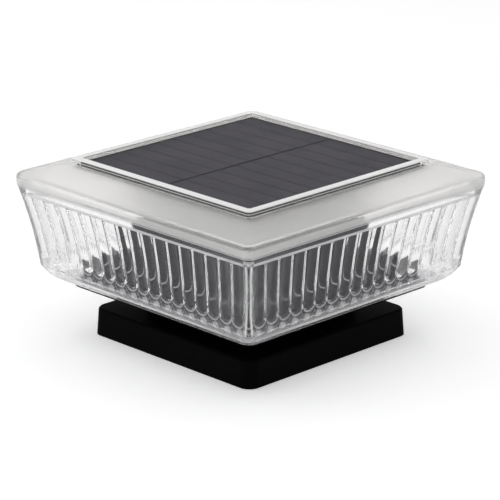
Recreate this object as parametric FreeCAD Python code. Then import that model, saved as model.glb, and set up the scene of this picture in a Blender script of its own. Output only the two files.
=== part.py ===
import FreeCAD, Part
import math
import os

# A solar light that caps a square deck post. Millimetres, Z up. The origin is the
# middle of the skirt's lower rim. The lamp head plugs into the post base's neck.

Vec = FreeCAD.Vector

# ---- the post and the base that drops over it
post_size = 101.6
post_play = 1.7
skirt_wall = 3.0
skirt_draft = 0.7
skirt_height = 13.9
skirt_corner = 6.0
deck_thickness = 3.0
deck_edge_round = 0.8
neck_half = 38.0
neck_wall = 3.0
neck_corner = 5.0
neck_height = 10.8
base_hole_x = 30.0
base_hole_y = 46.5
base_hole_radius = 2.2
base_hole_sink = 4.4

# ---- how the head meets the base
seat_gap = 0.3
spigot_clearance = 0.5
spigot_rise = 1.1

# ---- base pan: flange under the lens and tray; battery tub: spigot that hangs from it
pan_flange_half = 62.0
pan_flange = 1.8
pan_corner = 4.0
tray_half = 58.5
tray_height = 12.0
tray_wall = 2.2
seat_wall = 3.4
boss_room = 0.3
spigot_wall = 2.2
spigot_floor = 3.0

# ---- lens
gasket_thickness = 0.8
gasket_width = 2.2
lens_clearance = 0.3
lens_wall = 2.6
lens_flange = 2.2
lens_foot_half = 65.4
lens_knee_half = 74.2
lens_knee_rise = 8.6
lens_foot_bow = 1.25
lens_foot_step = 0.4
lens_seam_half = 81.6
lens_seam_rise = 49.4
lens_flare_bow = 0.8
lens_inner_foot_bow = 0.9
lens_corner = 4.0
lens_inner_corner = 0.8
lens_foot_inner_corner = 2.7
lens_foot_corner = 5.0
tongue_wall = 1.2
tongue_height = 2.6

# ---- reeds inside the lens wall, and the ledge that they run up to
reed_count = 18
reed_land = 0.4
reed_depth = 1.05
reed_root = 0.4
reed_low = 7.6
reed_levels = 3
ledge_height = 4.6
ledge_slope = 2.0
ledge_depth = 2.1
ledge_corner = 3.0

# ---- top cover
lip_height = 3.9
lip_bulge = 0.15
lip_clearance = 0.1
lip_corner = 4.0
tongue_corner = 2.8
cover_round = 2.6
shoulder_slope = 14.0
cover_wall = 2.2
rim_half = 61.75
rim_corner = 2.4
rim_height = 2.4
rim_draft = 0.45
rim_foot = 0.6
rim_foot_rise = 0.35
rim_round = 0.4
recess_half = 57.8
recess_corner = 1.3
recess_wall = 2.0
recess_floor = 2.0

# ---- solar panel
panel_clearance = 0.3
panel_sink = 0.4
window_thickness = 1.2
cell_thickness = 0.4
backsheet_thickness = 1.4
tape_thickness = 0.8
tape_width = 4.0
cell_columns = 2
cell_rows = 10
cell_border = 2.6
cell_column_gap = 1.6
cell_row_gap = 0.5

# ---- inner housing
tray_margin = 11.5
housing_wall = 2.0
housing_corner = 4.0
housing_flange_width = 7.5
housing_flange = 2.0
housing_boss_radius = 3.2
housing_boss_edge = 0.3
housing_boss_height = 6.0
pan_boss_radius = 3.8
pan_boss_drop = 4.5

# ---- screws
screw_radius = 1.3
screw_head_radius = 2.5
screw_head_height = 1.6
screw_play = 0.05
small_screw_radius = 0.9
small_head_radius = 1.7
small_head_height = 1.0
head_sink = 0.4
head_play = 0.3
thread_spare = 1.0

# how far a cutting shape runs past the face it opens
over = 1.0

# ---- control board
board_length = 56.0
board_width = 48.0
board_thickness = 1.6
board_drop = 8.6
board_hole_x = 24.0
board_hole_y = 19.5
board_screw_bite = 5.0
standoff_radius = 3.0
chip_size = (9.0, 7.0, 1.6)
chip_place = (-9.0, -2.0)
coil_radius = 3.6
coil_height = 4.5
coil_rim = 0.9
coil_waist = 0.7
coil_place = (3.0, -13.0)
capacitor_radius = 3.0
capacitor_height = 7.0
capacitor_round = 0.4
capacitor_place = (14.0, -4.0)

# ---- LED boards
led_board_length = 70.0
led_board_width = 7.0
led_board_thickness = 1.2
led_board_gap = 4.5
led_per_board = 4
led_pitch = 16.0
led_size = (3.5, 2.8, 1.0)

# ---- battery and its bay in the tub
battery_radius = 7.1
battery_length = 49.0
battery_nub_radius = 2.75
battery_nub = 1.0
battery_place_y = -14.0
battery_gap = 0.4
bay_wall = 1.5
contact_thickness = 0.5
contact_width = 9.0
contact_tab_width = 4.5
tab_play = 0.2
contact_rise = 3.0
spring_reach = 3.0
spring_half_height = 5.0
spring_foot = 1.0

# ---- battery door in the tub floor
door_recess = 2.0
door_gasket_thickness = 0.5
door_gasket_width = 1.8
door_half_x = 30.6
door_edge = 2.6
door_opening_x = 26.5
door_corner = 2.0
door_clearance = 0.3
door_screw_x = 22.0
door_head_height = 0.8
plug_gap = 0.2
door_boss_radius = 2.4
door_boss_height = 5.0

# ---- power switch in the tub floor
switch_place_y = 17.0
switch_length = 11.0
switch_width = 6.0
switch_body_height = 5.0
switch_ear = 4.5
switch_ear_thickness = 1.2
switch_throw = 3.0
knob_length = 3.2
knob_width = 2.6
knob_clearance = 0.3
knob_inset = 0.5
shoe_length = 4.6
shoe_width = 4.0
shoe_height = 2.0
knob_groove = 0.4
switch_screw_bite = 1.6

# ---- leads
lead_radius = 0.8
bend_share = 0.45
led_lead_radius = 1.0
lead_hole_radius = 4.0
lead_hole_y = 26.0
lead_pitch = 6.0
panel_pad_y = 17.0
panel_lead_rise = 3.0
lead_rise = 11.0
led_pad_inset = 1.5
led_lead_drop = 4.8
led_pad = (14.0, -20.0)
led_hole_play = 0.6
battery_pad = (10.0, -8.0)
switch_pad = (6.0, 9.0)

# ---- heights and half widths that follow from the sizes above
skirt_half = post_size / 2 + post_play + skirt_wall
socket_half = skirt_half - skirt_wall
deck_bottom = skirt_height - deck_thickness
neck_top = skirt_height + neck_height
pan_bottom = neck_top + seat_gap
tray_top = pan_bottom + tray_height
tray_ceiling = tray_top - tray_wall
spigot_half = neck_half - neck_wall - spigot_clearance
spigot_corner = neck_corner - neck_wall
spigot_bottom = deck_bottom + spigot_rise
spigot_inside = spigot_bottom + spigot_floor
tub_inside_half = spigot_half - spigot_wall
lens_foot_z = pan_bottom + pan_flange + gasket_thickness
lens_flange_z = lens_foot_z + lens_flange
lens_knee_z = lens_foot_z + lens_knee_rise
lens_seam_z = lens_foot_z + lens_seam_rise
lens_foot_inside = lens_foot_half - lens_foot_step
reed_z = lens_knee_z + reed_low
ledge_z = lens_seam_z - ledge_height
cover_half = lens_seam_half + lip_bulge
lip_top = lens_seam_z + lip_height
slope = math.radians(shoulder_slope)
shoulder_low = cover_half - cover_round + cover_round * math.sin(slope)
shoulder_low_z = lip_top + cover_round * math.cos(slope)
shoulder_high = rim_half + rim_draft + rim_foot
shoulder_high_z = shoulder_low_z + (shoulder_low - shoulder_high) * math.tan(slope)
rim_top = shoulder_high_z + rim_foot_rise + rim_height
window_top = rim_top - panel_sink
window_bottom = window_top - window_thickness
backsheet_top = window_bottom - cell_thickness
backsheet_bottom = backsheet_top - backsheet_thickness
recess_z = backsheet_bottom - tape_thickness
cover_floor_z = recess_z - recess_floor
panel_half = recess_half - panel_clearance
housing_flange_half = tray_half - tray_margin
housing_half = housing_flange_half - housing_flange_width
housing_screw_offset = housing_flange_half - housing_boss_radius - housing_boss_edge
led_board_offset = housing_half + led_board_gap + led_board_width / 2
led_pad_offset = led_board_offset - led_pad_inset
housing_top = cover_floor_z
housing_ceiling = housing_top - housing_wall
board_top = housing_ceiling - board_drop
board_bottom = board_top - board_thickness
led_board_bottom = cover_floor_z - led_board_thickness
led_lead_z = led_board_bottom - led_lead_drop
battery_z = spigot_inside + battery_gap + battery_radius
bay_top = battery_z + battery_radius + battery_gap
bay_half_y = battery_radius + battery_gap
bay_end = battery_length / 2 + battery_nub + spring_reach + 2 * contact_thickness
door_opening_y = bay_half_y
door_screw_y = bay_half_y + bay_wall + door_boss_radius - head_play
door_half_y = door_screw_y + door_edge


def ring(half, corner, z):
    """Closed wire: a square of the given half width with round corners."""
    flat = half - corner
    cut = corner * math.sqrt(0.5)
    edges = []
    for turn in range(4):
        spin = FreeCAD.Rotation(Vec(0, 0, 1), 90 * turn)
        side_start = spin.multVec(Vec(-flat, -half, 0))
        side_end = spin.multVec(Vec(flat, -half, 0))
        arc_mid = spin.multVec(Vec(flat + cut, -flat - cut, 0))
        arc_end = spin.multVec(Vec(half, -flat, 0))
        lift = Vec(0, 0, z)
        edges.append(Part.LineSegment(side_start + lift, side_end + lift).toShape())
        edges.append(Part.Arc(side_end + lift, arc_mid + lift, arc_end + lift).toShape())
    return Part.Wire(edges)


def slab(half, corner, z_low, z_high):
    face = Part.Face(ring(half, corner, z_low))
    return face.extrude(Vec(0, 0, z_high - z_low))


def stack(levels, smooth=False):
    """Solid through (half, corner, z) levels, with straight or smooth sides."""
    wires = [ring(half, corner, z) for half, corner, z in levels]
    return Part.makeLoft(wires, True, not smooth)


def frame(outer, outer_corner, inner, inner_corner, z_low, z_high):
    body = slab(outer, outer_corner, z_low, z_high)
    hole = slab(inner, inner_corner, z_low - over, z_high + over)
    return body.cut(hole)


def block(x, y, z_low, size_x, size_y, size_z):
    """Box centred on x and y that stands on z_low."""
    corner = Vec(x - size_x / 2, y - size_y / 2, z_low)
    return Part.makeBox(size_x, size_y, size_z, corner)


def plate(x, y, z_low, size_x, size_y, size_z, corner):
    """Box as above with round upright edges."""
    body = block(x, y, z_low, size_x, size_y, size_z)
    upright = [e for e in body.Edges if abs(e.Vertexes[0].Z - e.Vertexes[1].Z) > size_z / 2]
    return body.makeFillet(corner, upright)


def rod(x, y, z_low, z_high, radius):
    return Part.makeCylinder(radius, z_high - z_low, Vec(x, y, z_low))


def turned(shape, quarter):
    """Copy of a shape turned about the upright axis by a number of quarter turns."""
    copy = shape.copy()
    copy.rotate(Vec(0, 0, 0), Vec(0, 0, 1), 90 * quarter)
    return copy


def all_corners(offset_x, offset_y):
    return [(sx * offset_x, sy * offset_y) for sx in (-1, 1) for sy in (-1, 1)]


def fused(shapes):
    return shapes[0].multiFuse(shapes[1:]).removeSplitter()


def bulge_points(start, end, bow, steps):
    """Points of the arc from start to end, each (half, z), whose middle stands bow
    outside the chord, or inside it where bow is negative."""
    run = end[0] - start[0]
    rise = end[1] - start[1]
    chord = math.hypot(run, rise)
    radius = (chord * chord / 4 + bow * bow) / (2 * abs(bow))
    normal = (rise / chord, -run / chord)
    side = math.copysign(1.0, bow)
    middle = ((start[0] + end[0]) / 2, (start[1] + end[1]) / 2)
    reach = (abs(bow) - radius) * side
    centre = (middle[0] + normal[0] * reach, middle[1] + normal[1] * reach)
    first = math.atan2(start[1] - centre[1], start[0] - centre[0])
    last = math.atan2(end[1] - centre[1], end[0] - centre[0])
    sweep = (last - first + math.pi) % (2 * math.pi) - math.pi
    angles = [first + sweep * step / steps for step in range(steps + 1)]
    return [(centre[0] + radius * math.cos(a), centre[1] + radius * math.sin(a)) for a in angles]


def bulge_centre(start, end, bow):
    """Centre and radius of the arc that bulge_points follows."""
    chord = math.hypot(end[0] - start[0], end[1] - start[1])
    radius = (chord * chord / 4 + bow * bow) / (2 * abs(bow))
    normal = ((end[1] - start[1]) / chord, -(end[0] - start[0]) / chord)
    reach = (abs(bow) - radius) * math.copysign(1.0, bow)
    middle = ((start[0] + end[0]) / 2, (start[1] + end[1]) / 2)
    return (middle[0] + normal[0] * reach, middle[1] + normal[1] * reach), radius


def screw(x, y, z_seat, length, radius, head_radius, head_height):
    """Pan-head screw that points up from a seat, its head below the seat."""
    shank = rod(x, y, z_seat, z_seat + length, radius)
    head = rod(x, y, z_seat - head_height, z_seat, head_radius)
    return shank.fuse(head).removeSplitter()


def tube(points, radius):
    """Lead along straight runs joined by tangent arcs."""
    knots = [Vec(*point) for point in points]
    edges = []
    begin = knots[0]
    for before, corner, after in zip(knots, knots[1:], knots[2:]):
        inward = (corner - before).normalize()
        outward = (after - corner).normalize()
        half_turn = inward.getAngle(outward) / 2
        shorter = min((corner - before).Length, (after - corner).Length)
        setback = bend_share * shorter
        bend = setback / math.tan(half_turn)
        arc_start = corner - inward * setback
        arc_end = corner + outward * setback
        toward = (outward - inward).normalize()
        centre = corner + toward * (bend / math.cos(half_turn))
        arc_mid = centre - toward * bend
        edges.append(Part.LineSegment(begin, arc_start).toShape())
        edges.append(Part.Arc(arc_start, arc_mid, arc_end).toShape())
        begin = arc_end
    edges.append(Part.LineSegment(begin, knots[-1]).toShape())
    path = Part.Wire(edges)
    start_circle = Part.Circle(knots[0], (knots[1] - knots[0]).normalize(), radius)
    profile = Part.Wire([start_circle.toShape()])
    return path.makePipeShell([profile], True, False)


def make_post_base():
    """Skirt, flat deck and the square neck that carries the lamp head."""
    top_half = skirt_half - skirt_draft
    shoulder = skirt_height - deck_edge_round
    outer = stack([
        (skirt_half, skirt_corner, 0),
        (top_half, skirt_corner, shoulder),
        (top_half - deck_edge_round, skirt_corner - deck_edge_round, skirt_height),
    ])
    socket = slab(socket_half, skirt_corner - skirt_wall, -over, deck_bottom)
    neck = slab(neck_half, neck_corner, skirt_height - deck_thickness / 2, neck_top)
    bore = slab(neck_half - neck_wall, spigot_corner, deck_bottom - over, neck_top + over)
    body = outer.cut(socket).fuse(neck).cut(bore).removeSplitter()
    for x in (-base_hole_x, base_hole_x):
        hole = rod(x, base_hole_y, deck_bottom - over, skirt_height + over, base_hole_radius)
        depth = base_hole_sink - base_hole_radius
        sink = Part.makeCone(base_hole_radius, base_hole_sink, depth,
                             Vec(x, base_hole_y, skirt_height - depth))
        body = body.cut(hole).cut(sink)
    return body


def make_base_pan():
    """Tray under the lens, open below, with a flange round its foot and screw bosses."""
    flange = slab(pan_flange_half, pan_corner, pan_bottom, pan_bottom + pan_flange)
    tray = slab(tray_half, pan_corner, pan_bottom, tray_top)
    hollow = slab(tray_half - tray_wall, pan_corner - tray_wall, pan_bottom - over, tray_ceiling)
    opening = slab(tub_inside_half, spigot_corner, tray_ceiling - over, tray_top + over)
    body = fused([flange, tray]).cut([hollow, opening])
    boss_low = tray_ceiling - pan_boss_drop
    for x, y in all_corners(housing_screw_offset, housing_screw_offset):
        body = body.fuse(rod(x, y, boss_low, tray_ceiling, pan_boss_radius))
        body = body.cut(rod(x, y, boss_low - over, tray_top + over, screw_radius + screw_play))
        pocket_top = boss_low + screw_head_height + head_sink
        body = body.cut(rod(x, y, boss_low - over, pocket_top, screw_head_radius + head_play))
    return body.removeSplitter()


def make_battery_tub():
    """Spigot that hangs from the tray, with a seat collar on top and the battery bay inside."""
    spigot = slab(spigot_half, spigot_corner, spigot_bottom, pan_bottom)
    collar = slab(spigot_half + seat_wall, neck_corner, pan_bottom, tray_ceiling)
    inside = slab(tub_inside_half, spigot_corner, spigot_inside, tray_ceiling + over)
    body = fused([spigot, collar]).cut(inside)
    boss_low = tray_ceiling - pan_boss_drop
    for x, y in all_corners(housing_screw_offset, housing_screw_offset):
        body = body.cut(rod(x, y, boss_low - over, tray_ceiling + over, pan_boss_radius + boss_room))

    bay_x = bay_end + 2 * contact_thickness
    bay_outer = block(0, battery_place_y, spigot_inside, 2 * (bay_x + bay_wall),
                      2 * (bay_half_y + bay_wall), bay_top + bay_wall - spigot_inside)
    bay_inner = block(0, battery_place_y, spigot_inside, 2 * bay_x,
                      2 * bay_half_y, bay_top - spigot_inside)
    body = body.fuse(bay_outer.cut(bay_inner))
    opening = block(0, battery_place_y, spigot_bottom - over, 2 * door_opening_x,
                    2 * door_opening_y, spigot_floor + 2 * over)
    recess = plate(0, battery_place_y, spigot_bottom - over, 2 * (door_half_x + door_clearance),
                   2 * (door_half_y + door_clearance), door_recess + over, door_corner)
    body = body.cut(opening).cut(recess)
    for x, y in door_screw_places():
        boss_top = spigot_inside + door_boss_height
        body = body.fuse(rod(x, y, spigot_bottom + door_recess, boss_top, door_boss_radius))
        body = body.cut(rod(x, y, spigot_bottom, boss_top - thread_spare, small_screw_radius + screw_play))
    for side in (-1, 1):
        slot = block(side * contact_tab_x(side), battery_place_y, bay_top - over,
                     contact_thickness + 2 * tab_play, contact_tab_width + 2 * tab_play,
                     bay_wall + 2 * over)
        body = body.cut(slot)

    slot_length = knob_length + switch_throw + 2 * knob_clearance
    slot = block(0, switch_place_y, spigot_bottom - over, slot_length,
                 knob_width + 2 * knob_clearance, spigot_floor + 2 * over)
    body = body.cut(slot)
    for side in (-1, 1):
        x = side * switch_screw_x()
        pilot = rod(x, switch_place_y, spigot_inside - switch_screw_bite - screw_play,
                    spigot_inside + over, small_screw_radius + screw_play)
        body = body.cut(pilot)
    return body.removeSplitter()


def contact_tab_x(side):
    """Distance of a contact plate's middle from the centre, on its own side."""
    end = battery_length / 2
    if side > 0:
        return end + battery_nub + contact_thickness / 2
    return end + spring_reach + contact_thickness / 2


def door_screw_places():
    return [(side * door_screw_x, battery_place_y + door_screw_y) for side in (-1, 1)]


def switch_screw_x():
    return switch_length / 2 + switch_ear / 2


def lens_levels(inset, corner, steps):
    """Levels of the flared wall from knee to seam, moved inwards by inset."""
    points = bulge_points((lens_knee_half, lens_knee_z), (lens_seam_half, lens_seam_z),
                          -lens_flare_bow, steps)
    return [(half - inset, corner, z) for half, z in points]


def wall_inside(z):
    """Half width of the lens cavity at a height between knee and seam."""
    centre, radius = bulge_centre((lens_knee_half, lens_knee_z), (lens_seam_half, lens_seam_z),
                                  -lens_flare_bow)
    return centre[0] - math.sqrt(radius * radius - (z - centre[1]) ** 2) - lens_wall


def reed_outline(z):
    """Closed wire of the cavity at a height: on each side the round backs of the reeds,
    from corner to corner, with a narrow land between neighbours."""
    half = wall_inside(z)
    reach = half / reed_count - reed_land / 2
    points = []
    for turn in range(4):
        spin = FreeCAD.Rotation(Vec(0, 0, 1), 90 * turn)
        for index in range(reed_count):
            x = (2 * index + 1 - reed_count) * half / reed_count
            points.append(spin.multVec(Vec(x - reach, -half, z)))
            points.append(spin.multVec(Vec(x, reed_depth - half, z)))
            points.append(spin.multVec(Vec(x + reach, -half, z)))
    edges = []
    for index in range(0, len(points), 3):
        left, crown, right = points[index:index + 3]
        edges.append(Part.Arc(left, crown, right).toShape())
        edges.append(Part.LineSegment(right, points[(index + 3) % len(points)]).toShape())
    return Part.Wire(edges)


def reed_ends():
    """Round lower ends of the reeds of one side, as solids that stand in the cavity."""
    half = wall_inside(reed_z)
    reach = half / reed_count - reed_land / 2
    bend = (reach * reach + reed_depth * reed_depth) / (2 * reed_depth)
    turn = math.asin(reach / bend) / 2
    shapes = []
    for index in range(reed_count):
        x = (2 * index + 1 - reed_count) * half / reed_count

        def at(across, rise):
            return Vec(x + across, rise - half, reed_z)

        mid = at(bend * math.sin(turn), reed_depth - bend + bend * math.cos(turn))
        half_section = Part.Face(Part.Wire([
            Part.LineSegment(at(0, -reed_root), at(reach, -reed_root)).toShape(),
            Part.LineSegment(at(reach, -reed_root), at(reach, 0)).toShape(),
            Part.Arc(at(reach, 0), mid, at(0, reed_depth)).toShape(),
            Part.LineSegment(at(0, reed_depth), at(0, -reed_root)).toShape(),
        ]))
        shapes.append(half_section.revolve(at(0, 0), Vec(0, 1, 0), 180))
    return shapes


def make_lens():
    """Flared clear wall with reeds inside, a rounded foot, and a ledge and tongue on top."""
    foot = bulge_points((lens_foot_half, lens_foot_z), (lens_knee_half, lens_knee_z),
                        lens_foot_bow, 5)
    foot_solid = stack([(half, lens_foot_corner, z) for half, z in foot[:-1]]
                       + [(lens_knee_half, lens_corner, lens_knee_z)])
    wall_solid = stack(lens_levels(0, lens_corner, 5), smooth=True)
    outer = foot_solid.fuse(wall_solid)
    inner_foot = bulge_points((lens_foot_inside, lens_flange_z),
                              (lens_knee_half - lens_wall, lens_knee_z), lens_inner_foot_bow, 4)
    foot_space = stack([(half, lens_foot_inner_corner, z) for half, z in inner_foot[:-1]]
                       + [(lens_knee_half - lens_wall, lens_inner_corner, lens_knee_z)])
    low_space = stack([(lens_knee_half - lens_wall, lens_inner_corner, lens_knee_z),
                       (wall_inside(reed_z), lens_inner_corner, reed_z)])
    reach = 2 * lens_seam_half
    corner_line = Part.makePolygon([Vec(0, 0, 0), Vec(-reach, -reach, 0), Vec(reach, -reach, 0),
                                    Vec(0, 0, 0)])
    wedge = Part.Face(corner_line).extrude(Vec(0, 0, lens_seam_z + over))
    quarter = low_space.common(wedge).cut(reed_ends())
    low_spaces = [turned(quarter, index) for index in range(4)]
    rise = ledge_z - reed_z
    outlines = [reed_outline(reed_z + rise * share / reed_levels)
                for share in range(reed_levels + 1)]
    reed_space = Part.makeLoft(outlines, True, False)
    seam_inside = lens_seam_half - lens_wall
    ledge_inside = seam_inside - ledge_depth
    ledge_space = stack([(wall_inside(ledge_z) - reed_depth, ledge_corner, ledge_z),
                         (ledge_inside, ledge_corner, ledge_z + ledge_slope)])
    top_space = slab(ledge_inside, ledge_corner, ledge_z + ledge_slope, lens_seam_z + over)
    flange_hole = slab(tray_half + lens_clearance, pan_corner, lens_foot_z - over, lens_flange_z)
    body = outer.cut(low_spaces + [foot_space, flange_hole, reed_space, ledge_space, top_space])
    tongue = frame(seam_inside + tongue_wall, tongue_corner,
                   seam_inside, lens_inner_corner, lens_seam_z, lens_seam_z + tongue_height)
    return body.fuse(tongue).removeSplitter()


def make_lens_gasket():
    low = pan_bottom + pan_flange
    inner = tray_half + lens_clearance
    return frame(inner + gasket_width, pan_corner, inner, pan_corner, low, lens_foot_z)


def make_top_cover():
    """Lip, frosted shoulder and clear rim, with the recess that holds the panel."""
    round_steps = 4
    levels = [(lens_seam_half, lip_corner, lens_seam_z)]
    for step in range(round_steps + 1):
        angle = (math.pi / 2 - slope) * step / round_steps
        half = cover_half - cover_round + cover_round * math.cos(angle)
        levels.append((half, lip_corner, lip_top + cover_round * math.sin(angle)))
    levels.append((shoulder_high, rim_corner + rim_foot, shoulder_high_z))
    levels.append((rim_half + rim_draft, rim_corner, shoulder_high_z + rim_foot_rise))
    levels.append((rim_half, rim_corner, rim_top - rim_round))
    levels.append((rim_half - rim_round, rim_corner - rim_round, rim_top))
    outer = stack(levels)
    tongue_half = lens_seam_half - lens_wall + tongue_wall + lip_clearance
    lap_top = lens_seam_z + tongue_height + lip_clearance
    lap = slab(tongue_half, tongue_corner, lens_seam_z - over, lap_top)
    under = lens_seam_half - lens_wall
    drop = cover_wall / math.cos(slope)
    under_z = shoulder_low_z + (shoulder_low - under) * math.tan(slope) - drop
    inner_half = recess_half + recess_wall
    inner_z = shoulder_low_z + (shoulder_low - inner_half) * math.tan(slope) - drop
    space = stack([
        (under, tongue_corner, lap_top - lip_clearance),
        (under, tongue_corner, under_z),
        (inner_half, rim_corner, inner_z),
    ])
    floor = slab(inner_half, rim_corner, cover_floor_z, rim_top)
    recess = slab(recess_half, recess_corner, recess_z, rim_top + over)
    hole = rod(0, lead_hole_y, cover_floor_z - over, recess_z + over, lead_hole_radius)
    return outer.cut(lap).cut(space.cut(floor)).cut(recess).cut(hole).removeSplitter()


def make_solar_window():
    return slab(panel_half, recess_corner - panel_clearance, window_bottom, window_top)


def make_solar_cells():
    """Strips in columns and rows between the window and the backsheet."""
    field = 2 * (panel_half - cell_border)
    length = (field - (cell_columns - 1) * cell_column_gap) / cell_columns
    width = (field - (cell_rows - 1) * cell_row_gap) / cell_rows
    strips = []
    for column in range(cell_columns):
        x = -field / 2 + length / 2 + column * (length + cell_column_gap)
        for row in range(cell_rows):
            y = -field / 2 + width / 2 + row * (width + cell_row_gap)
            strips.append(block(x, y, backsheet_top, length, width, cell_thickness))
    return Part.makeCompound(strips)


def make_panel_backsheet():
    return slab(panel_half, recess_corner - panel_clearance, backsheet_bottom, backsheet_top)


def make_panel_tape():
    return frame(panel_half, recess_corner - panel_clearance, panel_half - tape_width,
                 recess_corner, recess_z, backsheet_bottom)


def make_inner_housing():
    """Dark box between pan and cover: flange at the foot, standoffs under its top."""
    shell = slab(housing_half, housing_corner, tray_top, housing_top)
    flange = slab(housing_flange_half, housing_corner, tray_top, tray_top + housing_flange)
    bosses = [rod(x, y, tray_top, tray_top + housing_boss_height, housing_boss_radius)
              for x, y in all_corners(housing_screw_offset, housing_screw_offset)]
    body = fused([shell, flange] + bosses)
    body = body.cut(slab(housing_half - housing_wall, housing_corner - housing_wall,
                         tray_top - over, housing_ceiling))
    standoffs = [rod(x, y, board_top, housing_ceiling + housing_wall / 2, standoff_radius)
                 for x, y in all_corners(board_hole_x, board_hole_y)]
    body = body.multiFuse(standoffs)
    cuts = [rod(x, y, board_top - over, board_top + board_screw_bite + thread_spare,
                screw_radius + screw_play)
            for x, y in all_corners(board_hole_x, board_hole_y)]
    cuts += [rod(x, y, tray_top - over, tray_top + housing_boss_height - thread_spare,
                 screw_radius + screw_play)
             for x, y in all_corners(housing_screw_offset, housing_screw_offset)]
    cuts.append(rod(0, lead_hole_y, housing_ceiling - over, housing_top + over, lead_hole_radius))
    wire_hole = Part.makeCylinder(led_lead_radius + led_hole_play, housing_wall + 2 * over,
                                  Vec(led_pad[0], -housing_half - over, led_lead_z), Vec(0, 1, 0))
    cuts += [turned(wire_hole, index) for index in range(4)]
    return body.cut(cuts).removeSplitter()


def make_control_board():
    board = block(0, 0, board_bottom, board_length, board_width, board_thickness)
    for x, y in all_corners(board_hole_x, board_hole_y):
        board = board.cut(rod(x, y, board_bottom - over, board_top + over, screw_radius + screw_play))
    return board


def make_charge_chip():
    return block(chip_place[0], chip_place[1], board_top, chip_size[0], chip_size[1], chip_size[2])


def make_boost_coil():
    """Drum with a waist for its winding."""
    x, y = coil_place
    low = board_top + coil_rim
    high = board_top + coil_height - coil_rim
    drum = rod(x, y, board_top, board_top + coil_height, coil_radius)
    waist = rod(x, y, low, high, coil_radius + over)
    core = rod(x, y, low, high, coil_radius - coil_waist)
    return drum.cut(waist.cut(core))


def make_storage_capacitor():
    x, y = capacitor_place
    can = rod(x, y, board_top, board_top + capacitor_height, capacitor_radius)
    return can.makeFillet(capacitor_round, [can.Edges[0]])


def make_board_screws():
    length = board_thickness + board_screw_bite
    return Part.makeCompound([
        screw(x, y, board_bottom, length, screw_radius, screw_head_radius, screw_head_height)
        for x, y in all_corners(board_hole_x, board_hole_y)])


def make_housing_screws():
    seat = tray_top - tray_wall - pan_boss_drop + screw_head_height + head_sink
    length = tray_top + housing_boss_height - 2 * thread_spare - seat
    return Part.makeCompound([
        screw(x, y, seat, length, screw_radius, screw_head_radius, screw_head_height)
        for x, y in all_corners(housing_screw_offset, housing_screw_offset)])


def make_led_board(quarter):
    board = block(0, -led_board_offset, led_board_bottom, led_board_length, led_board_width,
                  led_board_thickness)
    return turned(board, quarter)


def make_leds():
    lamps = []
    for quarter in range(4):
        for index in range(led_per_board):
            x = (index - (led_per_board - 1) / 2) * led_pitch
            body = block(x, -led_board_offset, led_board_bottom - led_size[2], led_size[0],
                         led_size[1], led_size[2])
            lamps.append(turned(body, quarter))
    return Part.makeCompound(lamps)


def make_battery():
    """Round cell lying along X with its raised end towards +X."""
    along = Vec(1, 0, 0)
    start = Vec(-battery_length / 2, battery_place_y, battery_z)
    can = Part.makeCylinder(battery_radius, battery_length, start, along)
    nub = Part.makeCylinder(battery_nub_radius, battery_nub,
                            Vec(battery_length / 2, battery_place_y, battery_z), along)
    return can.fuse(nub).removeSplitter()


def contact_plate(side):
    """Upright metal strip at one end of the bay, its tab through the bay's top."""
    x = side * contact_tab_x(side)
    low = spigot_inside + battery_gap
    face = block(x, battery_place_y, low, contact_thickness, contact_width, bay_top - low)
    tab = block(x, battery_place_y, bay_top, contact_thickness, contact_tab_width,
                bay_wall + contact_rise)
    return face.fuse(tab).removeSplitter()


def make_positive_contact():
    return contact_plate(1)


def make_negative_spring():
    """Contact strip with a bowed leaf that presses on the flat end of the cell."""
    plate_x = -contact_tab_x(-1) + contact_thickness / 2
    tip = -battery_length / 2
    foot = Vec(0, 0, spring_foot)
    low = Vec(plate_x, battery_place_y - contact_width / 2, battery_z - spring_half_height)
    high = low + Vec(0, 0, 2 * spring_half_height)
    crown = Vec(tip, low.y, battery_z)
    inner = Vec(tip - contact_thickness, low.y, battery_z)
    outline = Part.Wire([
        Part.Arc(low, crown, high).toShape(),
        Part.LineSegment(high, high - foot).toShape(),
        Part.Arc(high - foot, inner, low + foot).toShape(),
        Part.LineSegment(low + foot, low).toShape(),
    ])
    leaf = Part.Face(outline).extrude(Vec(0, contact_width, 0))
    return contact_plate(-1).fuse(leaf).removeSplitter()


def make_battery_door():
    """Plate in the recess with a plug that fills the opening."""
    plate_thickness = door_recess - door_gasket_thickness
    cover = plate(0, battery_place_y, spigot_bottom, 2 * door_half_x, 2 * door_half_y,
                  plate_thickness, door_corner)
    plug_height = spigot_floor - plate_thickness - plug_gap
    plug = block(0, battery_place_y, spigot_bottom + plate_thickness,
                 2 * (door_opening_x - door_clearance), 2 * (door_opening_y - door_clearance),
                 plug_height)
    body = cover.fuse(plug)
    for x, y in door_screw_places():
        body = body.cut(rod(x, y, spigot_bottom - over, spigot_inside, small_screw_radius + screw_play))
        body = body.cut(rod(x, y, spigot_bottom - over, spigot_bottom + door_head_height,
                            small_head_radius + screw_play))
    return body.removeSplitter()


def make_door_gasket():
    low = spigot_bottom + door_recess - door_gasket_thickness
    inner_x = door_opening_x
    inner_y = door_opening_y
    band = block(0, battery_place_y, low, 2 * (inner_x + door_gasket_width),
                 2 * (inner_y + door_gasket_width), door_gasket_thickness)
    hole = block(0, battery_place_y, low - over, 2 * inner_x, 2 * inner_y,
                 door_gasket_thickness + 2 * over)
    return band.cut(hole)


def make_door_screws():
    seat = spigot_bottom + door_head_height
    length = spigot_inside + door_boss_height - 2 * thread_spare - seat
    shapes = []
    for x, y in door_screw_places():
        shapes.append(screw(x, y, seat, length, small_screw_radius, small_head_radius,
                            door_head_height))
    return Part.makeCompound(shapes)


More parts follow.
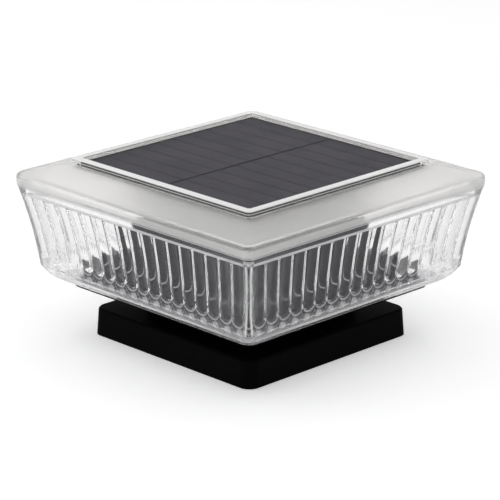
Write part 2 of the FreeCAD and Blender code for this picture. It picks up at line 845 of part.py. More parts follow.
def make_switch_body():
    """Slide switch on the spigot floor, ears for its screws, channel for the shoe."""
    base = spigot_inside
    body = block(0, switch_place_y, base, switch_length, switch_width, switch_body_height)
    ears = block(0, switch_place_y, base, switch_length + 2 * switch_ear, switch_width,
                 switch_ear_thickness)
    channel = block(0, switch_place_y, base - over, shoe_length + switch_throw + 2 * knob_clearance,
                    shoe_width + 2 * knob_clearance, shoe_height + 2 * knob_clearance + over)
    body = body.fuse(ears).cut(channel)
    for side in (-1, 1):
        hole = rod(side * switch_screw_x(), switch_place_y, base - over,
                   base + switch_ear_thickness + over, small_screw_radius + screw_play)
        body = body.cut(hole)
    return body.removeSplitter()


def make_switch_slider():
    """Knob in the floor slot and the wider shoe above it, at the off end."""
    x = -switch_throw / 2
    knob_low = spigot_bottom + knob_inset
    shoe_low = spigot_inside + knob_clearance
    knob = block(x, switch_place_y, knob_low, knob_length, knob_width, shoe_low - knob_low)
    shoe = block(x, switch_place_y, shoe_low, shoe_length, shoe_width, shoe_height)
    body = knob.fuse(shoe).removeSplitter()
    for step in (-1, 0, 1):
        groove = block(x + step * knob_length / 4, switch_place_y, knob_low - over,
                       knob_groove, knob_width + over, over + knob_groove)
        body = body.cut(groove)
    return body


def make_switch_screws():
    """Two screws that point down through the ears into the floor."""
    shapes = []
    seat = spigot_inside + switch_ear_thickness
    for side in (-1, 1):
        x = side * switch_screw_x()
        shank = rod(x, switch_place_y, spigot_inside - switch_screw_bite, seat, small_screw_radius)
        head = rod(x, switch_place_y, seat, seat + small_head_height, small_head_radius)
        shapes.append(shank.fuse(head).removeSplitter())
    return Part.makeCompound(shapes)


def make_panel_leads():
    shapes = []
    for side in (-1, 1):
        x = side * lead_pitch / 2
        shapes.append(tube([
            (x, lead_hole_y, backsheet_bottom),
            (x, lead_hole_y, housing_ceiling - housing_wall),
            (x, panel_pad_y, board_top + panel_lead_rise),
            (x, panel_pad_y, board_top),
        ], lead_radius))
    return Part.makeCompound(shapes)


def make_battery_leads():
    shapes = []
    tab_top = bay_top + bay_wall + contact_rise
    for side in (-1, 1):
        start_x = side * contact_tab_x(side)
        shapes.append(tube([
            (start_x, battery_place_y, tab_top),
            (start_x, battery_place_y, tab_top + lead_rise),
            (side * battery_pad[0], battery_pad[1], board_bottom - lead_rise),
            (side * battery_pad[0], battery_pad[1], board_bottom),
        ], lead_radius))
    return Part.makeCompound(shapes)


def make_switch_leads():
    shapes = []
    start_z = spigot_inside + switch_body_height
    for side in (-1, 1):
        shapes.append(tube([
            (side * lead_pitch / 2, switch_place_y, start_z),
            (side * lead_pitch / 2, switch_place_y, start_z + lead_rise),
            (side * switch_pad[0], switch_pad[1], board_bottom - lead_rise),
            (side * switch_pad[0], switch_pad[1], board_bottom),
        ], lead_radius))
    return Part.makeCompound(shapes)


def make_led_leads():
    """One twin lead from each LED board, in through the housing wall and down to the board."""
    x, pad_y = led_pad
    lead = tube([
        (x, -led_pad_offset, led_board_bottom),
        (x, -led_pad_offset, led_lead_z),
        (x, pad_y, led_lead_z),
        (x, pad_y, board_top),
    ], led_lead_radius)
    return Part.makeCompound([turned(lead, index) for index in range(4)])


makers = {
    "post_base": make_post_base,
    "base_pan": make_base_pan,
    "battery_tub": make_battery_tub,
    "lens": make_lens,
    "lens_gasket": make_lens_gasket,
    "top_cover": make_top_cover,
    "solar_window": make_solar_window,
    "solar_cells": make_solar_cells,
    "panel_backsheet": make_panel_backsheet,
    "panel_tape": make_panel_tape,
    "inner_housing": make_inner_housing,
    "control_board": make_control_board,
    "charge_chip": make_charge_chip,
    "boost_coil": make_boost_coil,
    "storage_capacitor": make_storage_capacitor,
    "board_screws": make_board_screws,
    "housing_screws": make_housing_screws,
    "leds": make_leds,
    "battery": make_battery,
    "positive_contact": make_positive_contact,
    "negative_spring": make_negative_spring,
    "battery_door": make_battery_door,
    "door_gasket": make_door_gasket,
    "door_screws": make_door_screws,
    "switch_body": make_switch_body,
    "switch_slider": make_switch_slider,
    "switch_screws": make_switch_screws,
    "panel_leads": make_panel_leads,
    "battery_leads": make_battery_leads,
    "switch_leads": make_switch_leads,
    "led_leads": make_led_leads,
}

os.makedirs("parts", exist_ok=True)
for name, maker in makers.items():
    maker().exportStep("parts/" + name + ".step")
for quarter, side_name in enumerate(("front", "right", "back", "left")):
    make_led_board(quarter).exportStep("parts/led_board_" + side_name + ".step")
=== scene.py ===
import math

import bmesh
import bpy
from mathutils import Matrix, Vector

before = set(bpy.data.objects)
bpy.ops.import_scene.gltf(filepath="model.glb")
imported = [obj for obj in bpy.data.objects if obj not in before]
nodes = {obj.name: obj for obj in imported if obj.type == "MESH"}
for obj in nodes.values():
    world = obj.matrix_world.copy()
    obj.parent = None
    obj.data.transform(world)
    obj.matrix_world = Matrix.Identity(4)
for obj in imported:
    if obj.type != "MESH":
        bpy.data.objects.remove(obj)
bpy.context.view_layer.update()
print("frame loaded:", len(nodes), "nodes")


# a wrapped socket, so that shader maths is written as plain expressions
class Wire:
    def __init__(self, recipe, socket):
        self.recipe = recipe
        self.socket = socket

    def maths(self, operation, *values):
        return self.recipe.add("ShaderNodeMath", {"operation": operation}, dict(enumerate(values)))

    def __add__(self, other):
        return self.maths("ADD", self, other)

    __radd__ = __add__

    def __sub__(self, other):
        return self.maths("SUBTRACT", self, other)

    def __rsub__(self, other):
        return self.maths("SUBTRACT", other, self)

    def __mul__(self, other):
        return self.maths("MULTIPLY", self, other)

    __rmul__ = __mul__

    def __abs__(self):
        return self.maths("ABSOLUTE", self)

    def __gt__(self, other):
        return self.maths("GREATER_THAN", self, other)

    def __lt__(self, other):
        return self.maths("LESS_THAN", self, other)

    def most(self, other):
        return self.maths("MAXIMUM", self, other)

    def least(self, other):
        return self.maths("MINIMUM", self, other)

    def root(self):
        return self.maths("SQRT", self)

    def whole(self):
        return self.maths("FLOOR", self)

    def wrap(self, step):
        return self.maths("WRAP", self, step / 2, -step / 2)  # distance from the nearest multiple of step

    def between(self, low, high):
        return self.recipe.add("ShaderNodeMapRange", {"interpolation_type": "SMOOTHSTEP"},
                               {"Value": self, "From Min": low, "From Max": high})

    def stroke(self, inside, outside):
        return 1.0 - abs(self).between(inside, outside)  # 1 within inside of nought, 0 past outside


def radius(across, along):
    return (across * across + along * along).root()


# a material or world, whose nodes all come from add
class Recipe:
    def __init__(self, owner):
        owner.use_nodes = True
        self.owner = owner
        self.tree = owner.node_tree
        self.tree.nodes.clear()

    def add(self, kind, settings=None, inputs=None, out=0):
        node = self.tree.nodes.new(kind)
        for name, value in (settings or {}).items():
            setattr(node, name, value)
        for name, value in (inputs or {}).items():
            socket = node.inputs[name]
            if isinstance(value, Wire):
                self.tree.links.new(value.socket, socket)
            elif socket.type == "RGBA":
                socket.default_value = value + (1.0,)
            else:
                socket.default_value = value
        return Wire(self, node.outputs[out]) if node.outputs else None  # the closing node has no outputs

    def spot(self):
        return self.add("ShaderNodeTexCoord", out="Object")

    def axes(self, spot):
        split = self.add("ShaderNodeSeparateXYZ", inputs={0: spot})
        return [Wire(self, axis) for axis in split.socket.node.outputs]

    def noise(self, spot, scale, detail=2.0):
        return self.add("ShaderNodeTexNoise", inputs={"Vector": spot, "Scale": scale, "Detail": detail,
                                                      "Roughness": 0.55})

    def mixColour(self, share, first, second):
        return self.add("ShaderNodeMix", {"data_type": "RGBA"}, {0: share, 6: first, 7: second}, out=2)

    def bump(self, height, distance):
        return self.add("ShaderNodeBump", inputs={"Height": height, "Distance": distance, "Strength": 1.0})

    def surface(self, inputs):
        return self.add("ShaderNodeBsdfPrincipled", inputs=inputs)

    def mixShader(self, share, first, second):
        return self.add("ShaderNodeMixShader", inputs={0: share, 1: first, 2: second})

    def finish(self, shader, kind="ShaderNodeOutputMaterial"):
        self.add(kind, inputs={"Surface": shader})
        return self.owner


def newRecipe(name):
    return Recipe(bpy.data.materials.new(name))


def dress(nodeName, material):
    mesh = nodes[nodeName].data
    for index in range(len(mesh.materials)):
        mesh.materials[index] = material
    if not mesh.materials:
        mesh.materials.append(material)


# moulded plastic: one builder for every black piece; lowLook is the finish below flangeTop, and a look may
# carry a painted highlight line
def mouldedPlastic(name, upperLook, lowLook=None):
    r = newRecipe(name)
    spot = r.spot()
    z = r.axes(spot)[2]
    cloud = r.noise(spot, upperLook["cloudScale"])

    def skin(look):
        grain = r.noise(spot, look["grainScale"])
        colour = r.mixColour(cloud.between(*look["mottle"]), look["colour"], look["second"])
        # painted highlight: a pale line painted round the housing's flange rim where it catches the light
        if "paintedGlint" in look:  # the rim of the housing's flange catches the light
            paintedRimHighlight = (z - look["paintedGlintHeight"]).stroke(look["paintedGlintHalf"], 2.0 * look["paintedGlintHalf"])
            colour = r.mixColour(paintedRimHighlight, colour, look["paintedGlint"])
        return r.surface({
            "Base Color": colour,
            "Roughness": look["roughness"] + (cloud - 0.5) * look["cloudRoughness"],
            "Specular IOR Level": look["specular"],
            "Normal": r.bump(grain, look["grainDepth"]),
        })

    if lowLook is None:
        return r.finish(skin(upperLook))
    upper = z > upperLook["flangeTop"]  # the glossy tray stands on a matte flange
    return r.finish(r.mixShader(upper, skin(lowLook), skin(upperLook)))


basePlastic = {"colour": (0.0014, 0.0014, 0.0014), "second": (0.0022, 0.0022, 0.0022), "mottle": (0.3, 0.7),
               "cloudScale": 38.0, "roughness": 0.6, "cloudRoughness": 0.16, "specular": 0.018,
               "grainScale": 2600.0, "grainDepth": 0.00004}
trayPlastic = dict(basePlastic, colour=(0.0030, 0.0028, 0.0034), second=(0.0045, 0.0042, 0.0050),
                   roughness=0.25, specular=0.4, grainScale=1800.0, grainDepth=0.00002, flangeTop=0.0272)
# the housing carries a painted highlight: a pale line round its flange rim
housingPlastic = dict(basePlastic, colour=(0.0050, 0.0043, 0.0060), second=(0.0085, 0.0076, 0.0100),
                      roughness=0.5, specular=0.06, grainScale=2200.0, grainDepth=0.00003,
                      paintedGlint=(0.85, 0.83, 0.87), paintedGlintHeight=0.0386, paintedGlintHalf=0.00018)
basePlasticMaterial = mouldedPlastic("base black", basePlastic)
for nodeName in ("post_base", "battery_tub", "battery_door", "switch_slider"):
    dress(nodeName, basePlasticMaterial)
dress("base_pan", mouldedPlastic("tray black", trayPlastic, basePlastic))
dress("inner_housing", mouldedPlastic("housing black with painted glint", housingPlastic))
print("black plastics done")


# clear plastic: the light of the lamps passes straight through the lens and the cover
shadowTint = (0.92, 0.93, 0.94)


def clearShader(r, inputs):
    glass = r.surface(dict({"Transmission Weight": 1.0}, **inputs))
    through = r.add("ShaderNodeBsdfTransparent", inputs={"Color": shadowTint})
    lamp = r.add("ShaderNodeLightPath", out="Is Shadow Ray")
    return r.mixShader(lamp, glass, through)


# lengths in metres; a Line is a stroke's half width where it is full and where it has faded out,
# and a Share is how strongly it is drawn
lensLook = {"tint": (0.955, 0.95, 0.957), "ior": 1.42, "shine": (0.62, 0.59, 0.66), "roughness": 0.07,
            "waveScale": 60.0, "waveRoughness": 0.01, "waveDepth": 0.00005,
            "white": (0.86, 0.86, 0.87), "whiteShade": (0.8, 0.8, 0.81), "mottle": (0.3, 0.7),
            "whiteRoughness": 0.4, "whiteWaves": 0.1,
            "reeds": 18, "wall": 0.0026, "skin": 0.0016, "kneeHalf": 0.0742, "kneeHeight": 0.0362,
            "flare": 0.181,
            "reedEndHeight": 0.0438, "arcLine": (0.0002, 0.0008), "arcShare": 0.45,
            "lowArcDrop": 0.0036, "lowArcLine": (0.0001, 0.0009), "lowArcShare": 0.3,
            "dashHeight": 0.0368, "dashLine": (0.001, 0.0022), "dashWidth": (0.1, 0.45), "dashShare": 0.5,
            "ledgeHeight": 0.0728, "ledgeLine": (0.0005, 0.0009), "ledgeShare": 0.85,
            "seamHeight": 0.0765, "seamLine": (0.0002, 0.0005), "seamShare": 0.55,
            "footTop": 0.0300, "footFade": 0.0008, "footShare": 0.4,
            "edgeInset": 0.0026, "edgeLine": (0.0002, 0.0006), "edgeShare": 0.85,
            "cornerInset": 0.0042, "cornerFade": 0.001, "cornerShare": 0.8,
            "endFrom": 0.03, "endShare": 0.1, "endBlur": 0.12, "thin": (0.95, 0.95, 0.955)}


# painted highlights: thin white lines are painted where the lens bends light into bright lines: reed ends,
# foot dashes, foot rim, ledge, seam and corners
def clearLens(look):
    r = newRecipe("clear lens with painted highlights")
    spot = r.spot()
    x, y, z = r.axes(spot)
    waves = r.noise(spot, look["waveScale"], detail=1.0)
    across = abs(x).least(abs(y))  # along the wall, from its middle
    reedStep = 2 * (look["kneeHalf"] - look["wall"]) / look["reeds"]
    share = (reedStep / 2 - abs(across.wrap(reedStep))) * (2 / reedStep)
    endLine = look["reedEndHeight"] - (1.0 - share * share).most(0.0).root() * (reedStep / 2)
    outerHalf = look["kneeHalf"] + (z - look["kneeHeight"]) * look["flare"]
    aboveKnee = z > look["kneeHeight"]
    outerSkin = (abs(x).most(abs(y)) > outerHalf - look["skin"]) * aboveKnee

    arc = (endLine - z).stroke(*look["arcLine"])
    lowArc = (endLine - look["lowArcDrop"] - z).stroke(*look["lowArcLine"])
    dash = (1.0 - share.between(*look["dashWidth"])) * (z - look["dashHeight"]).stroke(*look["dashLine"])
    ledge = (z - look["ledgeHeight"]).stroke(*look["ledgeLine"])
    seam = (z - look["seamHeight"]).stroke(*look["seamLine"])
    footRim = 1.0 - (z - look["footTop"]).between(-look["footFade"], 0.0)
    edge = (across - outerHalf + look["edgeInset"]).stroke(*look["edgeLine"])
    edge = edge * (z < look["ledgeHeight"]) * outerSkin
    # painted highlights: the strokes mix an opaque white surface over the clear glass
    paintedHighlightLines = (outerSkin * (arc * look["arcShare"] + lowArc * look["lowArcShare"] + seam * look["seamShare"])
             + (1.0 - outerSkin) * ledge * look["ledgeShare"] + dash * look["dashShare"]
             + edge * look["edgeShare"] + footRim * look["footShare"])

    # the walls fade towards the corners of the lens
    corner = (across - outerHalf + look["cornerInset"]).between(0.0, look["cornerFade"]) * aboveKnee
    wallEnd = across.between(look["endFrom"], look["kneeHalf"])
    faint = (corner * look["cornerShare"]).most(wallEnd * look["endShare"])
    clear = clearShader(r, {
        "Base Color": look["tint"],
        "IOR": look["ior"],
        "Specular Tint": look["shine"],
        "Roughness": look["roughness"] + wallEnd * look["endBlur"] + waves * look["waveRoughness"],
        "Normal": r.bump(waves, look["waveDepth"]),
    })
    white = r.surface({
        "Base Color": r.mixColour(waves.between(*look["mottle"]), look["white"], look["whiteShade"]),
        "Roughness": look["whiteRoughness"] + waves * look["whiteWaves"],
    })
    thin = r.add("ShaderNodeBsdfTransparent", inputs={"Color": look["thin"]})
    softened = r.mixShader(faint, clear, thin)
    return r.finish(r.mixShader(paintedHighlightLines, softened, white))


dress("lens", clearLens(lensLook))

coverLook = {"tint": (0.975, 0.965, 0.95), "ior": 1.46, "clear": 0.02, "frost": 0.5,
             "gritScale": 2400.0, "gritRoughness": 0.1,
             "bright": (0.96, 0.955, 0.94), "brightShade": (0.9, 0.9, 0.9), "mottle": (0.3, 0.7),
             "brightRoughness": 0.3, "shoulderShare": 0.09,
             "rimHalf": 0.0626, "rimTop": 0.0898, "rimFade": 0.0004, "rimShare": 0.9,
             "sideHeight": 0.0890, "sideLine": (0.0001, 0.0003), "sideReach": 0.0625, "sideShare": 0.6,
             "lipTop": 0.0815, "lipHalf": 0.079, "lipShare": 0.4}


# the rim round the panel is clear and the shoulder frosted with a little white of its own; the edges that
# catch the light, the rim top, a side line and the lip, get painted highlights in white
def frostedCover(look):
    r = newRecipe("cover clear and frosted with painted highlights")
    spot = r.spot()
    x, y, z = r.axes(spot)
    reach = abs(x).most(abs(y))
    frosted = (z > look["lipTop"]) * (reach > look["rimHalf"])
    grit = r.noise(spot, look["gritScale"])
    clear = clearShader(r, {
        "Base Color": look["tint"],
        "IOR": look["ior"],
        "Roughness": look["clear"] + frosted * (look["frost"] + (grit - 0.5) * look["gritRoughness"]),
    })
    bright = r.surface({
        "Base Color": r.mixColour(grit.between(*look["mottle"]), look["bright"], look["brightShade"]),
        "Roughness": look["brightRoughness"] + grit * look["gritRoughness"],
    })
    paintedRimHighlight = (z - look["rimTop"]).between(0.0, look["rimFade"])
    side = (z - look["sideHeight"]).stroke(*look["sideLine"]) * (reach < look["sideReach"])
    lip = (z < look["lipTop"]) * (reach > look["lipHalf"])
    # painted highlights on the rim top, side line and lip, and a little frost white on the shoulder
    frostAndPaintedHighlights = (paintedRimHighlight * look["rimShare"] + side * look["sideShare"] + lip * look["lipShare"]
                  + frosted * look["shoulderShare"])
    return r.finish(r.mixShader(frostAndPaintedHighlights, clear, bright))


dress("top_cover", frostedCover(coverLook))
print("clear pieces done")

windowLook = {"colour": (0.02, 0.02, 0.025), "alpha": 0.07, "roughness": 0.14, "hazeScale": 300.0,
              "hazeRoughness": 0.08}


# a clear sheet that only adds a soft sheen over the cells
def clearWindow(look):
    r = newRecipe("window clear")
    haze = r.noise(r.spot(), look["hazeScale"])
    return r.finish(r.surface({
        "Base Color": look["colour"],
        "Roughness": look["roughness"] + haze * look["hazeRoughness"],
        "Alpha": look["alpha"],
    }))


dress("solar_window", clearWindow(windowLook))

cellLook = {"colour": (0.0135, 0.0105, 0.0195), "light": (0.0300, 0.0250, 0.0390), "mottle": (0.35, 0.65),
            "cloudScale": 45.0, "cloudShare": 0.7, "fleckScale": 900.0, "roughness": 0.45,
            "fleckRoughness": 0.2, "specular": 0.2}


def solarCells(look):
    r = newRecipe("cell violet grey")
    spot = r.spot()
    cloud = r.noise(spot, look["cloudScale"], detail=4.0)
    fleck = r.noise(spot, look["fleckScale"])
    mottle = cloud * look["cloudShare"] + fleck * (1.0 - look["cloudShare"])
    return r.finish(r.surface({
        "Base Color": r.mixColour(mottle.between(*look["mottle"]), look["colour"], look["light"]),
        "Roughness": look["roughness"] + fleck * look["fleckRoughness"],
        "Specular IOR Level": look["specular"],
    }))


dress("solar_cells", solarCells(cellLook))
dress("panel_backsheet", mouldedPlastic("backsheet black", dict(basePlastic, specular=0.1)))
print("solar panel done")


# soft seals: rubber and foam with fine pores
def sealRubber(name, look):
    r = newRecipe(name)
    pores = r.noise(r.spot(), look["poreScale"], detail=3.0)
    return r.finish(r.surface({
        "Base Color": r.mixColour(pores.between(*look["mottle"]), look["colour"], look["pore"]),
        "Roughness": look["roughness"] + pores * look["poreRoughness"],
        "Specular IOR Level": look["specular"],
        "Normal": r.bump(pores, look["poreDepth"]),
    }))


gasketRubber = {"colour": (0.006, 0.006, 0.006), "pore": (0.01, 0.01, 0.01), "mottle": (0.35, 0.65),
                "poreScale": 1500.0, "poreDepth": 0.00005, "roughness": 0.75, "poreRoughness": 0.15,
                "specular": 0.1}
tapeFoam = dict(gasketRubber, colour=(0.02, 0.02, 0.021), pore=(0.004, 0.004, 0.004), poreScale=2800.0,
                poreDepth=0.00012)
sealMaterial = sealRubber("gasket rubber", gasketRubber)
dress("lens_gasket", sealMaterial)
dress("door_gasket", sealMaterial)
dress("panel_tape", sealRubber("foam tape", tapeFoam))
print("seals done")


# plated steel: brushed one way, with dull spots
def platedMetal(name, look):
    r = newRecipe(name)
    spot = r.spot()
    stretched = r.add("ShaderNodeMapping", inputs={"Vector": spot, "Scale": look["brush"]})
    brush = r.noise(stretched, 1.0, detail=3.0)
    spots = r.noise(spot, look["spotScale"], detail=4.0)
    return r.finish(r.surface({
        "Base Color": r.mixColour(spots.between(*look["mottle"]), look["colour"], look["dull"]),
        "Metallic": 1.0,
        "Roughness": look["roughness"] + brush * look["brushRoughness"] + spots * look["spotRoughness"],
        "Normal": r.bump(brush, look["brushDepth"]),
    }))


zincPlate = {"colour": (0.55, 0.56, 0.58), "dull": (0.38, 0.39, 0.41), "mottle": (0.4, 0.75),
             "spotScale": 260.0, "spotRoughness": 0.1, "brush": (900.0, 900.0, 300.0),
             "brushRoughness": 0.15, "brushDepth": 0.00001, "roughness": 0.22}
nickelPlate = dict(zincPlate, colour=(0.68, 0.65, 0.6), dull=(0.5, 0.48, 0.44), roughness=0.18,
                   brush=(200.0, 2500.0, 200.0))
shellPlate = dict(zincPlate, brush=(300.0, 3000.0, 300.0))
for nodeName in ("board_screws", "housing_screws", "door_screws", "switch_screws"):
    dress(nodeName, platedMetal("zinc plate " + nodeName, zincPlate))
nickel = platedMetal("nickel plate", nickelPlate)
dress("positive_contact", nickel)
dress("negative_spring", nickel)
dress("switch_body", platedMetal("switch shell", shellPlate))
print("metals done")


# boards: solder mask over tracks that shift in steps, with tinned pads
def circuitBoard(name, look):
    r = newRecipe(name)
    spot = r.spot()
    x, y = r.axes(spot)[:2]
    stepped = r.noise(spot, look["bendScale"], detail=0.0)
    bend = (stepped * look["bends"]).whole() * look["trackStep"]
    tracks = abs((x + bend).wrap(look["trackStep"])) < look["trackHalf"]
    rows = abs((y + bend).wrap(look["trackStep"] * 2.0)) < look["trackHalf"]
    track = tracks.most(rows)
    dotX = (x - look["padStep"] / 2).wrap(look["padStep"])
    dotY = (y - look["padStep"] / 2).wrap(look["padStep"])
    pad = radius(dotX, dotY) < look["padRadius"]
    fibre = r.noise(spot, look["fibreScale"])
    masked = r.mixColour(track, look["mask"], look["overTrack"])
    return r.finish(r.surface({
        "Base Color": r.mixColour(pad, masked, look["tin"]),
        "Metallic": pad * look["tinMetallic"],
        "Roughness": look["roughness"] + fibre * look["fibreRoughness"],
        "Normal": r.bump(track + fibre * look["fibreHeight"], look["trackDepth"]),
    }))


controlBoard = {"mask": (0.008, 0.075, 0.028), "overTrack": (0.014, 0.12, 0.045), "tin": (0.6, 0.6, 0.58),
                "tinMetallic": 0.9, "trackStep": 0.0046, "trackHalf": 0.0004, "trackDepth": 0.00004,
                "bendScale": 70.0, "bends": 6.0, "padStep": 0.0092, "padRadius": 0.0008,
                "fibreScale": 1400.0, "fibreHeight": 0.3, "fibreRoughness": 0.15, "roughness": 0.38}
ledBoard = dict(controlBoard, mask=(0.78, 0.78, 0.76), overTrack=(0.7, 0.7, 0.68), trackStep=0.0070,
                trackHalf=0.0006, padStep=0.0080, padRadius=0.0007)
dress("control_board", circuitBoard("board green", controlBoard))
ledBoardMaterial = circuitBoard("led board white", ledBoard)
for side in ("front", "right", "back", "left"):
    dress("led_board_" + side, ledBoardMaterial)

ledLook = {"body": (0.8, 0.8, 0.78), "phosphor": (0.75, 0.55, 0.08), "offset": 0.0475, "pitch": 0.016,
           "windowRadius": 0.0012, "windowEdge": 0.9, "grainScale": 4000.0, "roughness": 0.35,
           "grainRoughness": 0.2}


# each lamp is a white body with a round yellow phosphor window
def whiteLeds(look):
    r = newRecipe("led white")
    spot = r.spot()
    x, y = r.axes(spot)[:2]
    along = (abs(x).least(abs(y)) - look["pitch"] / 2).wrap(look["pitch"])
    sideways = abs(x).most(abs(y)) - look["offset"]
    grain = r.noise(spot, look["grainScale"])
    edge = radius(along, sideways).between(look["windowRadius"] * look["windowEdge"], look["windowRadius"])
    return r.finish(r.surface({
        "Base Color": r.mixColour(1.0 - edge, look["body"], look["phosphor"]),
        "Roughness": look["roughness"] + grain * look["grainRoughness"],
    }))


dress("leds", whiteLeds(ledLook))
print("boards done")

chipLook = {"resin": (0.010, 0.010, 0.011), "pale": (0.018, 0.018, 0.019), "mottle": (0.3, 0.7),
            "pinMark": (-0.0123, -0.0043), "pinMarkEdge": (0.0003, 0.0005), "pinMarkDepth": 0.0001,
            "grainScale": 3000.0, "grainHeight": 0.2, "roughness": 0.5, "grainRoughness": 0.2}


# moulded resin with a round dimple by the first pin
def chipResin(look):
    r = newRecipe("chip black")
    spot = r.spot()
    x, y = r.axes(spot)[:2]
    grain = r.noise(spot, look["grainScale"], detail=3.0)
    dimple = radius(x - look["pinMark"][0], y - look["pinMark"][1]).between(*look["pinMarkEdge"])
    return r.finish(r.surface({
        "Base Color": r.mixColour(grain.between(*look["mottle"]), look["resin"], look["pale"]),
        "Roughness": look["roughness"] + grain * look["grainRoughness"],
        "Normal": r.bump(dimple + grain * look["grainHeight"], look["pinMarkDepth"]),
    }))


dress("charge_chip", chipResin(chipLook))

coilLook = {"middle": (0.003, -0.013), "waist": 0.0033, "low": 0.07451, "high": 0.07721, "turn": 0.00045,
            "turnDepth": 0.0001, "copper": (0.5, 0.16, 0.05), "ferrite": (0.015, 0.014, 0.014),
            "roughness": 0.6, "copperShine": 0.3, "grainScale": 2600.0, "grainHeight": 0.3,
            "grainRoughness": 0.1}


# the coil's waist holds the copper turns, its rims stay ferrite
def woundCoil(look):
    r = newRecipe("coil ferrite and copper")
    spot = r.spot()
    x, y, z = r.axes(spot)
    fromMiddle = radius(x - look["middle"][0], y - look["middle"][1])
    wound = (fromMiddle < look["waist"]) * (z > look["low"]) * (z < look["high"])
    turn = abs(z.wrap(look["turn"])) * (2 / look["turn"])
    grain = r.noise(spot, look["grainScale"], detail=3.0)
    return r.finish(r.surface({
        "Base Color": r.mixColour(wound, look["ferrite"], look["copper"]),
        "Metallic": wound,
        "Roughness": look["roughness"] - wound * look["copperShine"] + grain * look["grainRoughness"],
        "Normal": r.bump(grain * look["grainHeight"] - turn * turn * wound, look["turnDepth"]),
    }))


dress("boost_coil", woundCoil(coilLook))

canLook = {"middleX": 0.014, "stripeFrom": 0.0024, "top": 0.0803, "sleeve": (0.012, 0.014, 0.03),
           "stripe": (0.5, 0.5, 0.52), "aluminium": (0.75, 0.76, 0.78), "roughness": 0.3,
           "grainScale": 1200.0, "grainRoughness": 0.15}


# the can has a plain sleeve with one pale stripe, and bare aluminium on top
def sleevedCan(look):
    r = newRecipe("capacitor can")
    spot = r.spot()
    x, y, z = r.axes(spot)
    bare = z > look["top"]
    stripe = x - look["middleX"] > look["stripeFrom"]
    grain = r.noise(spot, look["grainScale"])
    sleeve = r.mixColour(stripe, look["sleeve"], look["stripe"])
    return r.finish(r.surface({
        "Base Color": r.mixColour(bare, sleeve, look["aluminium"]),
        "Metallic": bare,
        "Roughness": look["roughness"] + grain * look["grainRoughness"],
    }))


dress("storage_capacitor", sleevedCan(canLook))

batteryLook = {"sleeveEnd": 0.0240, "sleeve": (0.02, 0.06, 0.22), "bandFrom": 0.0165,
               "band": (0.6, 0.6, 0.62), "steel": (0.62, 0.62, 0.63), "roughness": 0.25,
               "creaseScale": 500.0, "creaseRoughness": 0.15, "creaseDepth": 0.00003}


# the cell is a steel can in a plain blue sleeve that leaves both ends bare
def sleevedBattery(look):
    r = newRecipe("battery sleeve")
    spot = r.spot()
    x = r.axes(spot)[0]
    bare = abs(x) > look["sleeveEnd"]
    band = (x > look["bandFrom"]) * (1.0 - bare)
    crease = r.noise(spot, look["creaseScale"], detail=3.0)
    sleeve = r.mixColour(band, look["sleeve"], look["band"])
    return r.finish(r.surface({
        "Base Color": r.mixColour(bare, sleeve, look["steel"]),
        "Metallic": bare,
        "Roughness": look["roughness"] + crease * look["creaseRoughness"],
        "Normal": r.bump(crease, look["creaseDepth"]),
    }))


dress("battery", sleevedBattery(batteryLook))
print("board parts and battery done")

leadLook = {"red": (0.30, 0.008, 0.006), "black": (0.008, 0.008, 0.008), "grey": (0.016, 0.016, 0.017),
            "scuff": (0.2, 0.2, 0.2), "scuffScale": 700.0, "scuffBand": (0.55, 0.8), "scuffShare": 0.3,
            "roughness": 0.4, "scuffRoughness": 0.2, "specular": 0.3}


# leads: red on the positive side and black on the other, led leads dark grey
def leadInsulation(name, look, positive, negative):
    r = newRecipe(name)
    spot = r.spot()
    x = r.axes(spot)[0]
    scuff = r.noise(spot, look["scuffScale"], detail=3.0)
    colour = r.mixColour(x > 0.0, negative, positive)
    scuffed = scuff.between(*look["scuffBand"]) * look["scuffShare"]
    return r.finish(r.surface({
        "Base Color": r.mixColour(scuffed, colour, look["scuff"]),
        "Roughness": look["roughness"] + scuff * look["scuffRoughness"],
        "Specular IOR Level": look["specular"],
    }))


for nodeName in ("panel_leads", "battery_leads", "switch_leads"):
    dress(nodeName, leadInsulation(nodeName + " insulation", leadLook, leadLook["red"], leadLook["black"]))
dress("led_leads", leadInsulation("led lead insulation", leadLook, leadLook["grey"], leadLook["grey"]))
print("leads done")

studio = {"worldLight": 0.45, "floorSize": 8.0, "floorDrop": 0.0003, "floorColour": (0.86, 0.86, 0.86),
          "floorGlow": 0.38, "white": (1.0, 1.0, 1.0), "aim": (0.0, 0.0, 0.05)}
softBoxes = {"top soft box": {"place": (0.0, 0.1, 1.3), "size": (1.4, 1.4), "power": 6.0},
             "left soft box": {"place": (-1.2, -0.6, 0.7), "size": (0.8, 0.9), "power": 3.2},
             "right soft box": {"place": (0.9, -1.2, 0.6), "size": (0.8, 0.9), "power": 2.4}}


# the camera, glossy rays and rays through glass see white; all other rays see the plain level
def whiteToEye(r):
    rays = r.add("ShaderNodeLightPath").socket.node.outputs
    seen = Wire(r, rays["Is Camera Ray"])
    for name in ("Is Glossy Ray", "Is Transmission Ray"):
        seen = seen.most(Wire(r, rays[name]))
    return seen


world = bpy.data.worlds.new("studio")
bpy.context.scene.world = world
r = Recipe(world)
seen = whiteToEye(r)
plain = r.add("ShaderNodeBackground", inputs={"Color": studio["white"], "Strength": studio["worldLight"]})
white = r.add("ShaderNodeBackground", inputs={"Color": studio["white"], "Strength": 1.0})
r.finish(r.mixShader(seen, plain, white), "ShaderNodeOutputWorld")

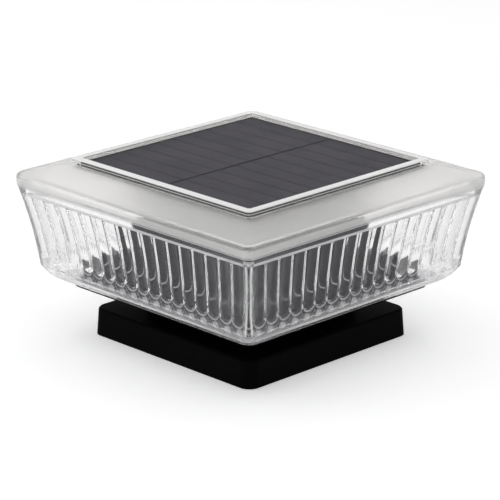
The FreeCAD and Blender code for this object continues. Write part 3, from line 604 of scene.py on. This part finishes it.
sheet = bmesh.new()
bmesh.ops.create_grid(sheet, x_segments=1, y_segments=1, size=studio["floorSize"])
floorMesh = bpy.data.meshes.new("floor")
sheet.to_mesh(floorMesh)
sheet.free()
floor = bpy.data.objects.new("floor", floorMesh)
floor.location.z = -studio["floorDrop"]
bpy.context.scene.collection.objects.link(floor)
r = newRecipe("pale floor")
seen = whiteToEye(r)
matte = r.add("ShaderNodeBsdfDiffuse", inputs={"Color": studio["floorColour"]})
glow = r.add("ShaderNodeEmission", inputs={"Color": studio["white"], "Strength": studio["floorGlow"]})
lit = r.add("ShaderNodeAddShader", inputs={0: matte, 1: glow})
floorMesh.materials.append(r.finish(r.mixShader(seen, matte, lit)))


def softBox(name, place, aim, size, power):
    lamp = bpy.data.lights.new(name, "AREA")
    lamp.shape = "RECTANGLE"
    lamp.size, lamp.size_y = size
    lamp.energy = power
    thing = bpy.data.objects.new(name, lamp)
    thing.location = place
    thing.rotation_mode = "QUATERNION"
    thing.rotation_quaternion = (Vector(aim) - Vector(place)).to_track_quat("-Z", "Y")
    bpy.context.scene.collection.objects.link(thing)


for name, box in softBoxes.items():
    softBox(name, box["place"], studio["aim"], box["size"], box["power"])
print("studio done")

# the camera stands where the photograph was taken: lens and sensor in mm, angles in degrees, the rest in m
cameraLook = {"lens": 184.4, "sensor": 36.0, "clipEnd": 50.0, "azimuth": 45.439, "elevation": 18.476,
              "distance": 1.2558, "aimUp": 0.04338, "aimRight": -0.00023}
azimuth = math.radians(cameraLook["azimuth"])
elevation = math.radians(cameraLook["elevation"])
back = Vector((math.sin(azimuth) * math.cos(elevation), -math.cos(azimuth) * math.cos(elevation),
               math.sin(elevation)))
right = Vector((math.cos(azimuth), math.sin(azimuth), 0.0))
aim = right * cameraLook["aimRight"] + Vector((0, 0, cameraLook["aimUp"]))
camera = bpy.data.cameras.new("camera")
camera.lens = cameraLook["lens"]
camera.sensor_width = cameraLook["sensor"]
camera.clip_end = cameraLook["clipEnd"]
eye = bpy.data.objects.new("camera", camera)
eye.location = aim + back * cameraLook["distance"]
eye.rotation_mode = "QUATERNION"
eye.rotation_quaternion = (-back).to_track_quat("-Z", "Y")
bpy.context.scene.collection.objects.link(eye)
bpy.context.scene.camera = eye
bpy.context.scene.view_settings.view_transform = "Standard"

print("camera done")
